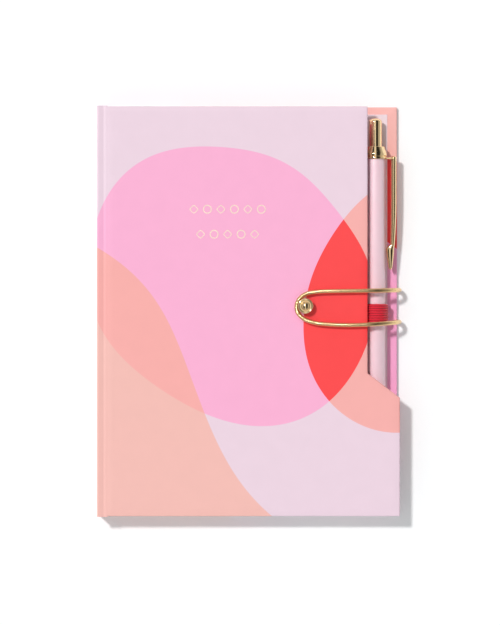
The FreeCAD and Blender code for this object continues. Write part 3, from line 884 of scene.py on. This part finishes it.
def make_pen_body(pen, gold):
    """Barrel, collar, nose and push button."""
    foot, top = low("pen_barrel")[1], high("pen_barrel")[1]
    bore = PEN_RADIUS - BARREL_WALL
    barrel = piece_turned("pen_barrel_lacquer", [(bore, foot), (PEN_RADIUS, foot), (PEN_RADIUS, top),
                                                 (bore, top)], pen)
    made = lacquer("pen lacquer", pen.barrel, 0.3, 0.4, 0.8)
    finish(barrel, made, "back_cover", ["pen_barrel"])

    button_low, button_high = low("pen_push_button"), high("pen_push_button")
    radius = pen.button_radius
    flange = button_high[0] - PEN[0]
    collar_top, sleeve = high("pen_collar")[1], low("pen_collar")[1]
    collar = high("pen_collar")[0] - PEN[0]
    inner, bead, g = radius + SLIDE_GAP, top + COLLAR_BEAD, COLLAR_GROOVE
    cone_foot = collar_top - COLLAR_CONE
    profile = [(inner, collar_top), (collar - COLLAR_NECK, collar_top), (collar - SLIDE_GAP, cone_foot),
               (collar, cone_foot - g), (collar, bead + g), (collar - 1.4 * g, bead), (collar, bead - g),
               (collar, top), (bore, top), (bore, sleeve), (inner, sleeve)]
    collar_piece = piece_turned("pen_collar_ring", profile, pen, 0.22 * MM, 50)
    finish(collar_piece, gold, "back_cover", ["pen_collar"])

    nose_low, nose_high = low("pen_nose"), high("pen_nose")
    seat = nose_low[1] + NOSE_SEAT
    profile = [(SPRING_BORE, nose_high[1]), (bore, nose_high[1]), (bore, foot),
               *[(PEN_RADIUS + r * MM, foot + y * MM) for r, y in NOSE_STEPS],
               (NOSE_TIP, nose_low[1]), (POINT_BORE, nose_low[1]), (POINT_BORE, seat), (SPRING_BORE, seat)]
    nose = piece_turned("pen_nose_cone", profile, pen, 0.3 * MM, 50)
    finish(nose, gold, "back_cover", ["pen_nose"])

    end = button_high[1]
    a = np.linspace(0, np.pi / 2, 12)
    dome = np.stack([radius * np.cos(a), end - BUTTON_DOME + BUTTON_DOME * np.sin(a)], -1)[::-1]
    profile = np.concatenate([dome, [(radius, button_low[1] + FLANGE), (flange, button_low[1] + FLANGE),
                                     (flange, button_low[1]), (0, button_low[1])]])
    button = build("pen_push_button_cap", [turned(profile, PEN_AXIS, pen.segments)], 40)
    finish(button, gold, "push_button", ["pen_push_button"])


CLIP_INNER = 6.2 * MM
CLIP_LEAN = 0.3 * MM
CLIP_OUTER = 8.4 * MM
CLIP_DROP = 1.75 * MM
LEAF_START = 0.64
LEAF_RISE = 0.08
LEAF_HEIGHT = 1.8 * MM
LEAF_TAPER = 0.66
CLIP_BEND = 17.2 * MM
CLIP_HEAD = 0.6 * MM
CLIP_TIP = 1.2 * MM
CLIP_NARROWING = 0.3
ARM_HALF = 0.42 * MM
ARM_DROP = 0.95 * MM
ARM_SPAN = (4.2 * MM, 7.2 * MM)


def clip_sides(s):
    """Inner and outer face of the clip as distances from the pen's axis.

    The share s goes from nought at the bend to one at the tip. The outer face runs inwards with the square of
    s. The inner face carries a leaf, which rises with a smooth step and narrows evenly to the tip.
    """
    outer = CLIP_OUTER - CLIP_DROP * s ** 2
    rise = np.clip((s - LEAF_START) / LEAF_RISE, 0, 1)
    past = np.clip((s - LEAF_START - LEAF_RISE) / (1 - LEAF_START - LEAF_RISE), 0, 1)
    leaf = LEAF_HEIGHT * rise ** 2 * (3 - 2 * rise) * (1 - LEAF_TAPER * past)
    return CLIP_INNER - CLIP_LEAN * s - leaf, outer


def make_clip(pen, gold):
    """Sprung clip: a short arm from the collar, a strip and a leaf that bears on the barrel.

    Near each end its thickness closes as the upper part of a circle.
    """
    top, tip = high("pen_clip")[1], low("pen_clip")[1]
    bend = top - CLIP_BEND
    y = np.concatenate([np.linspace(top, top - CLIP_HEAD, 8)[:-1],
                        np.linspace(top - CLIP_HEAD, bend, 12)[:-1],
                        np.linspace(bend, tip + CLIP_TIP, 110)[:-1],
                        np.linspace(tip + CLIP_TIP, tip, 14)])
    share = np.clip((bend - y) / (bend - tip), 0, 1)
    inner, outer = clip_sides(share)
    path = np.stack([PEN[0] + (inner + outer) / 2, y], -1)
    near = np.minimum(np.clip((top - y) / CLIP_HEAD, 0, 1), np.clip((y - tip) / CLIP_TIP, 0, 1))
    close = np.maximum(np.sqrt(near * (2 - near)), 0.03)
    half = (outer - inner) / 2 * close
    strip = ribbon(path, half, half, pen.clip_width * (1 - CLIP_NARROWING * share) * close, 2.6, 40)
    arm = np.stack([PEN[0] + np.linspace(*ARM_SPAN, 8), np.full(8, top - ARM_DROP)], -1)
    half = np.full(8, ARM_HALF)
    arm = ribbon(arm, half, half, np.full(8, 0.8 * pen.clip_width), 4, 24)
    patches = []
    for grid in (strip, arm):
        patches.append(patch(np.stack([grid[..., 0], grid[..., 1], PEN[2] + grid[..., 2]], -1)))
    finish(build("pen_clip_strip", patches, 40), gold, "back_cover", ["pen_clip"])


SPRING_WIRE = 0.15 * MM
SPRING_RADIUS = 1.75 * MM
SPRING_TURNS = 8.5
SPRING_CLOSING = 0.06


def make_spring(made):
    """The return spring: a wire along a helix with closer turns at both ends."""
    start, end = low("pen_spring"), high("pen_spring")
    wire, radius = SPRING_WIRE, SPRING_RADIUS
    t = np.linspace(0, 1, 480)
    angle = 2 * np.pi * SPRING_TURNS * t
    rise = t - SPRING_CLOSING * np.sin(2 * np.pi * t)
    y = start[1] + wire + (end[1] - start[1] - 2 * wire) * rise
    out = np.stack([np.cos(angle), 0 * t, np.sin(angle)], -1)
    line = np.stack([PEN[0] + radius * out[:, 0], y, PEN[2] + radius * out[:, 2]], -1)
    ahead = unit(np.gradient(line, axis=0))
    side = np.cross(ahead, out)
    ring = superellipse(10, 2)[None]
    grid = line[:, None] + wire * (out[:, None] * ring[..., :1] + side[:, None] * ring[..., 1:])
    spring = build("pen_return_spring", [patch(grid)])
    finish(spring, made, "back_cover", ["pen_spring"])
    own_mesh(spring)


class BOOKLET_OT_pen(bpy.types.Operator):
    """Makes the pen: barrel, collar, nose, push button, clip and return spring"""
    bl_idname = "booklet.pen"
    bl_label = "Pen"

    def execute(self, context):
        pen, closure = context.scene.booklet_pen, context.scene.booklet_closure
        gold = gold_metal("pen gold", closure.gold)
        make_pen_body(pen, gold)
        make_clip(pen, gold)
        make_spring(steel("spring steel", (0.6, 0.6, 0.6), 0.22))
        dress(lacquer("thruster plastic", (0.85, 0.85, 0.85), 0.4), "pen_thruster")
        dress(lacquer("refill plastic", srgb(60, 62, 78), 0.15), "refill_tube")
        dress(steel("nickel", (0.72, 0.7, 0.66), 0.16), "refill_tip")
        return {"FINISHED"}


LOOP_STRAP = 0.6 * MM
LOOP_WALL = 0.55 * MM
LOOP_CLEARANCE = 0.02 * MM
LOOP_ROUNDING = 14
LOOP_SEGMENTS = 160
LOOP_NECK = 4 * MM
LOOP_FLOOR_GAP = 0.01 * MM
TAIL_START = (2.6 * MM, 0.5 * MM)
TAIL_DEPTH = 0.7 * MM
TAIL_LENGTH = 12 * MM
TAIL_BEND = 0.5 * MM


class BOOKLET_OT_pen_loop(bpy.types.Operator):
    """Makes the ribbed elastic loop round the pen, and its tail under the lining"""
    bl_idname = "booklet.pen_loop"
    bl_label = "Pen loop"

    def execute(self, context):
        pen = context.scene.booklet_pen
        start, end = low("pen_loop"), high("pen_loop")
        width = end[1] - start[1]
        outer = end[0] - PEN[0]
        count = 10 * pen.loop_ribs
        q = np.linspace(0, 1, count)
        rib = 0.5 - 0.5 * np.cos(2 * np.pi * q * pen.loop_ribs)
        rounding = np.minimum(1, LOOP_ROUNDING * np.minimum(q, 1 - q)) ** 0.5
        wall = PEN_RADIUS + LOOP_WALL
        top = wall + (outer - wall - pen.loop_rib * (1 - rib)) * rounding
        radius = np.concatenate([top, np.full(count, PEN_RADIUS + LOOP_CLEARANCE)])
        y = start[1] + width * np.concatenate([q, q[::-1]])
        a = np.linspace(0, 2 * np.pi, LOOP_SEGMENTS, endpoint=False)[:, None]
        z = np.maximum(PEN[2] + radius * np.sin(a), LINING_BACK + LOOP_FLOOR_GAP)
        grid = np.stack([PEN[0] + radius * np.cos(a), np.broadcast_to(y, z.shape), z], -1)
        band = patch(grid, wrap_rows=True, uv_size=(2.0, 1.0))
        neck_x = PEN[0] - LOOP_NECK + LOOP_STRAP
        depth = LINING_BACK - TAIL_DEPTH
        corners = [(PEN[0] - TAIL_START[0], LINING_BACK + TAIL_START[1]), (neck_x, LINING_BACK - 0.1 * MM),
                   (neck_x - 0.3 * MM, depth), (neck_x - TAIL_LENGTH, depth)]
        path = rounded(corners, TAIL_BEND, 6, closed=False)
        half = np.full(len(path), LOOP_STRAP / 2)
        tail = ribbon(path, half, half, np.full(len(path), width - 0.1 * MM), 6, 24)
        tail = np.stack([tail[..., 0], start[1] + width / 2 + tail[..., 2], tail[..., 1]], -1)
        loop = build("ribbed_pen_loop", [band, patch(tail)], 60)
        finish(loop, elastic_weave(pen), "back_cover", ["pen_loop"])
        return {"FINISHED"}


# Closure

STUD_SHANK = 1.2 * MM
STUD_BASE = 3.0 * MM
STUD_WAIST = 2.6 * MM
STUD_HEAD = 3.1 * MM
WAIST_SPAN = (0.7 * MM, 2.8 * MM)
BASE_HEIGHT, HEAD_FOOT, RIM_HEIGHT = 0.5 * MM, 3.05 * MM, 3.9 * MM
RIM_TUBE = 0.42 * MM
VALLEY_WIDTH, VALLEY_DEPTH = 0.45 * MM, 0.8 * MM
DOME_DEPTH = 0.7 * MM


class BOOKLET_OT_stud(bpy.types.Operator):
    """Makes the turned stud, with its rim, groove and dome"""
    bl_idname = "booklet.stud"
    bl_label = "Stud"

    def execute(self, context):
        closure, pen = context.scene.booklet_closure, context.scene.booklet_pen
        top, foot = high("closure_stud")[2], low("closure_stud")[2]
        a = np.linspace(0, np.pi, 14)
        rim_top = FRONT_TOP + RIM_HEIGHT
        rim = np.stack([STUD_HEAD - RIM_TUBE + RIM_TUBE * np.cos(a),
                        rim_top - RIM_TUBE + RIM_TUBE * np.sin(a)], -1)
        b = np.linspace(0, np.pi / 2, 12)
        valley_radius = STUD_HEAD - 2 * RIM_TUBE
        dome_radius = valley_radius - VALLEY_WIDTH
        dome_foot = rim_top - DOME_DEPTH
        dome = np.stack([dome_radius * np.cos(b), dome_foot + (top - dome_foot) * np.sin(b)], -1)
        lower = [(0, foot), (STUD_SHANK, foot), (STUD_SHANK, FRONT_TOP), (STUD_BASE, FRONT_TOP),
                 (STUD_BASE, FRONT_TOP + BASE_HEIGHT),
                 *[(STUD_WAIST, FRONT_TOP + height) for height in WAIST_SPAN],
                 (STUD_HEAD, FRONT_TOP + HEAD_FOOT), (STUD_HEAD, rim_top - RIM_TUBE)]
        lower = rounded(lower, 0.12 * MM, 5, closed=False)
        valley = [(valley_radius, rim_top - VALLEY_DEPTH), (dome_radius, rim_top - VALLEY_DEPTH)]
        profile = np.concatenate([lower[:-1], rim, valley, dome])
        gold = gold_metal("stud gold", closure.gold, 0.13)
        stud = build("turned_stud", [turned(profile, STUD, pen.segments, order=(0, 2, 1))], 40)
        finish(stud, gold, "front_cover", ["closure_stud"])
        dress(gold, "stud_washer")
        return {"FINISHED"}


CORD_ROUTE = [
    (54.45, 8.5, 1.15), (60.95, 8.5, 1.15), (61.15, 8.5, 6.2), (58.6, 8.4, 12.2), (51.3, 8.25, 15.45),
    (39.5, 8.1, 16.0), (28.6, 8.0, 15.85), (22.3, 6.9, 15.8), (19.3, 2.9, 15.8), (20.2, -1.6, 15.8),
    (25.3, -4.6, 15.85), (33.5, -5.4, 15.95), (42.5, -5.6, 16.0), (51.3, -5.1, 15.45),
    (58.6, -4.6, 12.2), (61.15, -4.3, 6.2), (60.95, -4.2, 1.15), (54.45, -4.2, 1.15),
]
CORD_STEPS = 40


def smooth_line(name, points, steps):
    """Points of the smooth line that the route's points control."""
    curve = bpy.data.curves.new(name, "CURVE")
    curve.dimensions = "3D"
    curve.resolution_u = steps
    spline = curve.splines.new("NURBS")
    spline.points.add(len(points) - 1)
    spline.points.foreach_set("co", np.c_[np.array(points) * MM, np.ones(len(points))].ravel())
    spline.order_u = 3
    spline.use_endpoint_u = True
    carrier = bpy.data.objects.new(name, curve)
    line = bpy.data.meshes.new_from_object(carrier)
    places = np.empty(len(line.vertices) * 3)
    line.vertices.foreach_get("co", places)
    bpy.data.objects.remove(carrier)
    bpy.data.meshes.remove(line)
    return places.reshape(-1, 3)


def tube(line, radius, sides):
    """A round tube along a line, and its length.

    The section's first direction at a point is the one before it, less its part along the line, so that the
    tube doesn't twist.
    """
    ahead = unit(np.gradient(line, axis=0))
    across = np.empty_like(ahead)
    across[0] = unit(np.cross(ahead[0], (0.0, 0.0, 1.0)))
    for i in range(1, len(line)):
        kept = across[i - 1] - ahead[i] * (across[i - 1] @ ahead[i])
        across[i] = kept / np.linalg.norm(kept)
    other = np.cross(ahead, across)
    ring = superellipse(sides, 2)[None]
    grid = line[:, None] + radius * (across[:, None] * ring[..., :1] + other[:, None] * ring[..., 1:])
    return patch(grid), float(np.linalg.norm(np.diff(line, axis=0), axis=1).sum())


class BOOKLET_OT_cord(bpy.types.Operator):
    """Makes the elastic cord from the back board round the stud and back"""
    bl_idname = "booklet.cord"
    bl_label = "Cord"

    def execute(self, context):
        closure = context.scene.booklet_closure
        line = smooth_line("cord_line", CORD_ROUTE, CORD_STEPS)
        sheath, length = tube(line, closure.cord_radius, 28)
        cord = build("wound_cord", [sheath], 60)
        finish(cord, gold_cord(closure, length), "back_cover", ["closure_cord"])
        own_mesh(cord)
        return {"FINISHED"}


# Pads

PADS = {
    "large_note_pad": ("pink_notes", (250, 150, 195)),
    "left_note_pad": ("coral_notes", (248, 172, 162)),
    "right_note_pad": ("lilac_notes", (232, 205, 224)),
    "page_flag_pad_1": ("red_notes", (250, 84, 84)),
    "page_flag_pad_2": ("coral_notes", (248, 172, 162)),
    "page_flag_pad_3": ("pink_notes", (250, 150, 195)),
    "page_flag_pad_4": ("lilac_notes", (232, 205, 224)),
    "page_flag_pad_5": ("white_notes", (246, 243, 238)),
}


SHEET_CORNER = 0.25 * MM
TOP_SHEETS = 0.1 * MM
TOP_SHEET = 0.09 * MM
SHIFT_ALONG = 0.4


def pad_patches(node, pads, seed):
    """A stack whose layers lie slightly out of line, and a top sheet whose free edge lifts.

    A layer's outline is the pad's, moved by a small random amount. The top sheet rises by the curl times the
    cube of the distance from its glued edge.
    """
    start, end = low(node), high(node)
    random = np.random.RandomState(seed)
    x0, y0, x1, y1 = start[0], start[1], end[0], end[1]
    stagger = pads.stagger
    outline = carried([(x0, y0), (x1, y0), (x1, y1), (x0, y1)], SHEET_CORNER, [stagger], 4)[0]
    shifts = random.uniform(-stagger, stagger, (pads.layers, 2))
    shifts[:, 1] *= SHIFT_ALONG
    levels = np.linspace(start[2], end[2] - TOP_SHEETS, pads.layers + 1)
    rows = np.repeat(outline[None] + shifts[:, None], 2, axis=0)
    heights = np.stack([levels[:-1], levels[1:]], -1).ravel()
    stack = patch(lifted(rows, heights))
    u, v = np.meshgrid(np.linspace(x0, x1, 12), np.linspace(y0, y1, 24))
    lift = pads.curl * ((y1 - v) / (y1 - y0)) ** 3
    top = np.stack([u, v, end[2] + lift], -1)
    under = top - np.array([0, 0, TOP_SHEET])
    shell = np.concatenate([top, under[:, ::-1]], 1)
    return [stack, patch(shell)]


class BOOKLET_OT_pads(bpy.types.Operator):
    """Makes the note pads and page flags on their card"""
    bl_idname = "booklet.pads"
    bl_label = "Note pads"

    def execute(self, context):
        pads = context.scene.booklet_pads
        papers = {}
        for seed, (node, (slot, colour)) in enumerate(PADS.items()):
            if slot not in papers:
                papers[slot] = note_paper(slot.replace("_", " "), srgb(*colour))
            piece = build(node.replace("pad", "sheets"), pad_patches(node, pads, seed), 30)
            finish(piece, papers[slot], "back_cover", [node])
        dress(note_paper("white card", srgb(244, 240, 236)), "pad_card")
        return {"FINISHED"}


# Stage

LIGHT_FROM = (-0.39, 0.37, 1.0)
SKY_LEAN = (0.53, 0.31)
SUN_ANGLE = math.radians(5.5)
FLOOR_SIZE = 6.0
LOOK_AT = (1.05 * MM, -0.5 * MM)
SENSOR = 36.0
SOFT_LIGHT = (1.9, 2.0, 2.02)
WALL_FADE = (1.6, 3.0)
FLOOR_GREY = 0.94
FLOOR_GLOW = 0.08

# The sky that polished pieces reflect, as (place, grey) from left to right
PANEL = ((0.0, 1.0), (0.1, 0.9), (0.15, 0.04), (0.37, 0.03), (0.41, 1.6), (0.53, 1.6), (0.57, 0.03),
         (0.84, 0.04), (0.9, 0.9), (1.0, 1.1))


def studio_world(world, settings):
    """A soft studio, white to the camera.

    Matt pieces are lit by a sky that is brighter on the left and in front, s (1 - a x - b y). Polished pieces
    reflect a narrow panel overhead that runs along Y, dark to its left and right, and bright walls.
    """
    paint = Paint(world)
    _, (x, y, z) = paint.axes("Generated")
    level = paint.clamp((1.0 - x * SKY_LEAN[0] - y * SKY_LEAN[1]) * 0.5)
    soft = paint.mix(level, (0, 0, 0), SOFT_LIGHT)
    stops = [(place, (grey,) * 3) for place, grey in PANEL]
    panel = paint.node("ShaderNodeValToRGB", {"stops": stops}, {0: x * 0.5 + 0.5})
    mirrored = paint.mix(paint.clamp(WALL_FADE[0] - z * WALL_FADE[1]), panel.outputs[0], (1.0, 1.0, 1.0))
    rays = paint.node("ShaderNodeLightPath")
    colour = paint.mix(paint.term(rays, "Is Glossy Ray"), soft, mirrored)
    light = paint.node("ShaderNodeBackground", None, {0: colour, 1: settings.sky})
    white = paint.node("ShaderNodeBackground", None, {0: (1, 1, 1), 1: 1.0})
    both = paint.node("ShaderNodeMixShader", None,
                      {0: paint.term(rays, "Is Camera Ray"), 1: light.outputs[0], 2: white.outputs[0]})
    paint.node("ShaderNodeOutputWorld", None, {"Surface": both.outputs[0]})


def floor_material():
    """Pale matt floor that the camera and glossy pieces see a little brighter."""
    made, paint = material("pale floor")
    rays = paint.node("ShaderNodeLightPath")
    seen = paint.term(rays, "Is Camera Ray") + paint.term(rays, "Is Glossy Ray") \
        + paint.term(rays, "Is Transmission Ray")
    matt = paint.node("ShaderNodeBsdfDiffuse", None, {"Color": (FLOOR_GREY,) * 3})
    glow = paint.node("ShaderNodeEmission", None,
                      {"Color": (1, 1, 1), "Strength": paint.clamp(seen) * FLOOR_GLOW})
    both = paint.node("ShaderNodeAddShader", None, {0: matt.outputs[0], 1: glow.outputs[0]})
    paint.node("ShaderNodeOutputMaterial", None, {"Surface": both.outputs[0]})
    return made


class BOOKLET_OT_stage(bpy.types.Operator):
    """Makes the camera, the lamp, the studio and the floor"""
    bl_idname = "booklet.stage"
    bl_label = "Stage"

    def execute(self, context):
        scene, settings = context.scene, context.scene.booklet_stage
        scene.view_settings.view_transform = "Standard"
        camera = bpy.data.cameras.new("camera")
        camera.sensor_width = SENSOR
        camera.lens = SENSOR * (settings.camera_height - FRONT_TOP) / settings.view_height
        holder = bpy.data.objects.new("camera", camera)
        holder.location = (*LOOK_AT, settings.camera_height)
        scene.collection.objects.link(holder)
        scene.camera = holder

        lamp = bpy.data.lights.new("key", "SUN")
        lamp.energy = settings.sun
        lamp.angle = SUN_ANGLE
        key = bpy.data.objects.new("key", lamp)
        x, y, z = LIGHT_FROM
        key.rotation_euler = (math.atan2(math.hypot(x, y), z), 0, math.atan2(x, -y))
        scene.collection.objects.link(key)

        world = bpy.data.worlds.new("studio")
        scene.world = world
        studio_world(world, settings)

        half = FLOOR_SIZE / 2
        corners = np.array([(-half, -half), (half, -half), (half, half), (-half, half)])
        rows = np.stack([corners, corners])
        floor = build("floor", [patch(lifted(rows, [-0.02, -TINY]))])
        floor.data.materials.append(floor_material())
        return {"FINISHED"}


# Panel and registration

OPERATORS = (BOOKLET_OT_stage, BOOKLET_OT_cord, BOOKLET_OT_covers, BOOKLET_OT_boards, BOOKLET_OT_foil_marks,
             BOOKLET_OT_pen, BOOKLET_OT_pen_loop, BOOKLET_OT_stud, BOOKLET_OT_pads)


class BOOKLET_PT_panel(bpy.types.Panel):
    """Lists the booklet's settings and its pieces"""
    bl_idname = "BOOKLET_PT_panel"
    bl_label = "Booklet"
    bl_space_type = "VIEW_3D"
    bl_region_type = "UI"
    bl_category = "Booklet"

    def draw(self, context):
        for name in SETTINGS:
            group = getattr(context.scene, name)
            for key in group.bl_rna.properties.keys():
                if key not in ("rna_type", "name"):
                    self.layout.prop(group, key)
        for operator in OPERATORS:
            self.layout.operator(operator.bl_idname)


def register():
    for name, group in SETTINGS.items():
        bpy.utils.register_class(group)
        setattr(bpy.types.Scene, name, PointerProperty(type=group))
    for item in (*OPERATORS, BOOKLET_PT_panel):
        bpy.utils.register_class(item)


def unregister():
    for item in reversed((*OPERATORS, BOOKLET_PT_panel)):
        bpy.utils.unregister_class(item)
    for name, group in reversed(SETTINGS.items()):
        delattr(bpy.types.Scene, name)
        bpy.utils.unregister_class(group)


def main():
    register()
    for operator in OPERATORS:
        group, name = operator.bl_idname.split(".")
        getattr(getattr(bpy.ops, group), name)()
    bpy.context.view_layer.update()


if __name__ == "__main__":
    main()
